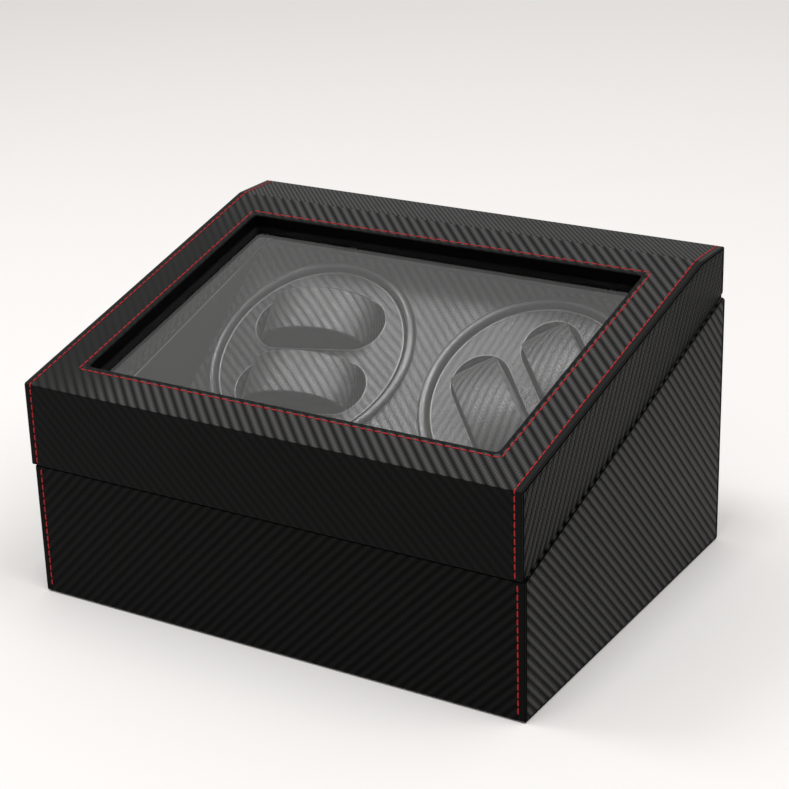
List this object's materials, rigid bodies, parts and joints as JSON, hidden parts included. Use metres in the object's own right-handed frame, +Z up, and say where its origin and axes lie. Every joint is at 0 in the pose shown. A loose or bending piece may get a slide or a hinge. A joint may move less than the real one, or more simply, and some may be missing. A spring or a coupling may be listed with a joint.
{
  "type": "watch winder box",
  "caption": "Sloped leatherette watch winder box with a hinged windowed lid over motor-driven turntables that hold arched watch cushions.",
  "frame": {"origin": "middle of the footprint on the surface the box stands on", "axes": "+X to the right seen from the front, +Y to the back, +Z up"},
  "size_m": [0.3425, 0.2668, 0.1994],
  "materials": {
    "felt": "black felt",
    "fibreboard": "raw fibreboard",
    "leatherette": "embossed twill",
    "side_leatherette": "embossed twill",
    "panel_leatherette": "embossed twill",
    "cushion_leatherette": "embossed twill over a pad",
    "thread": "red thread",
    "velvet": "black velvet",
    "lid_lining": "fibreboard lined in black",
    "gloss_black": "gloss",
    "reveal_black": "gloss",
    "satin_plastic": "satin",
    "zinc_steel": "zinc plated",
    "bright_steel": "ground",
    "motor_steel": "plated",
    "hinge_steel": "nickel plated",
    "screw_steel": "plated",
    "brass": "machined",
    "nylon": "natural",
    "circuit": "green board",
    "wire": "insulated",
    "pane_glass": "clear"
  },
  "bodies": {
    "base": {"bottom_felt": "felt", "floor_board": "fibreboard", "front_board": "fibreboard", "back_board": "fibreboard", "base_side_boards": "fibreboard", "base_cover": "leatherette", "base_left_panel": "side_leatherette", "base_right_panel": "side_leatherette", "base_stitching": "thread", "side_liners": "velvet", "front_liner": "velvet", "well_lining": "velvet", "battens": "fibreboard", "turntable_panel": "panel_leatherette", "rear_shelf": "velvet", "left_bezel": "gloss_black", "right_bezel": "gloss_black", "drive_plate": "zinc_steel", "drive_posts": "zinc_steel", "left_spindle": "bright_steel", "right_spindle": "bright_steel", "left_gear_motor": "motor_steel", "right_gear_motor": "motor_steel", "control_tub": "satin_plastic", "power_inlet": "satin_plastic", "circuit_board": "circuit", "rotary_switches": "nylon", "wiring": "wire", "base_hinge_leaves": "hinge_steel", "hinge_pins": "bright_steel", "base_screws": "screw_steel"},
    "left_turntable": {"left_disc": "panel_leatherette", "left_cups": "satin_plastic", "left_gear": "nylon"},
    "right_turntable": {"right_disc": "panel_leatherette", "right_cups": "satin_plastic", "right_gear": "nylon"},
    "left_upper_pad": {"left_upper_cushion": "cushion_leatherette"},
    "left_lower_pad": {"left_lower_cushion": "cushion_leatherette"},
    "right_upper_pad": {"right_upper_cushion": "cushion_leatherette"},
    "right_lower_pad": {"right_lower_cushion": "cushion_leatherette"},
    "left_drive": {"left_pinion": "brass"},
    "right_drive": {"right_pinion": "brass"},
    "left_knob": {"left_mode_knob": "satin_plastic"},
    "right_knob": {"right_mode_knob": "satin_plastic"},
    "lid": {"lid_front_board": "lid_lining", "lid_back_board": "lid_lining", "lid_side_boards": "lid_lining", "lid_top_board": "lid_lining", "lid_cover": "leatherette", "lid_left_panel": "side_leatherette", "lid_right_panel": "side_leatherette", "window_reveal": "reveal_black", "window_spacer": "reveal_black", "window_pane": "pane_glass", "pane_retainer": "velvet", "lid_hinge_leaves": "hinge_steel", "lid_screws": "screw_steel", "lid_stitching": "thread"}
  },
  "joints": [
    {"name": "lid_hinge", "type": "hinge", "parent": "base", "child": "lid", "pos_m": [0, 0.131, 0.16639], "axis": [-1, 0, 0], "range_deg": [0, 100]},
    {"name": "left_turntable_spin", "type": "hinge", "parent": "base", "child": "left_turntable", "pos_m": [-0.0812, 0.042, 0.1134], "axis": [0, -0.6198, 0.7848], "continuous": true},
    {"name": "left_pinion_spin", "type": "hinge", "parent": "base", "child": "left_drive", "pos_m": [-0.0182, 0.07299, 0.07416], "axis": [0, -0.6198, 0.7848], "continuous": true},
    {"name": "right_turntable_spin", "type": "hinge", "parent": "base", "child": "right_turntable", "pos_m": [0.0812, 0.042, 0.1134], "axis": [0, -0.6198, 0.7848], "continuous": true},
    {"name": "right_pinion_spin", "type": "hinge", "parent": "base", "child": "right_drive", "pos_m": [0.0182, 0.07299, 0.07416], "axis": [0, -0.6198, 0.7848], "continuous": true},
    {"name": "left_upper_cushion_lift", "type": "slide", "parent": "left_turntable", "child": "left_upper_pad", "axis": [0, -0.6198, 0.7848], "range_m": [0, 0.012]},
    {"name": "left_lower_cushion_lift", "type": "slide", "parent": "left_turntable", "child": "left_lower_pad", "axis": [0, -0.6198, 0.7848], "range_m": [0, 0.012]},
    {"name": "right_upper_cushion_lift", "type": "slide", "parent": "right_turntable", "child": "right_upper_pad", "axis": [0, -0.6198, 0.7848], "range_m": [0, 0.012]},
    {"name": "right_lower_cushion_lift", "type": "slide", "parent": "right_turntable", "child": "right_lower_pad", "axis": [0, -0.6198, 0.7848], "range_m": [0, 0.012]},
    {"name": "left_mode_knob_turn", "type": "hinge", "parent": "base", "child": "left_knob", "pos_m": [0.074, 0.119, 0.042], "axis": [0, 1, 0], "range_deg": [0, 120]},
    {"name": "right_mode_knob_turn", "type": "hinge", "parent": "base", "child": "right_knob", "pos_m": [0.126, 0.119, 0.042], "axis": [0, 1, 0], "range_deg": [0, 120]}
  ],
  "couplings": [
    {"joint": "left_pinion_spin", "follows": "left_turntable_spin", "ratio": -5},
    {"joint": "right_pinion_spin", "follows": "right_turntable_spin", "ratio": -5}
  ]
}
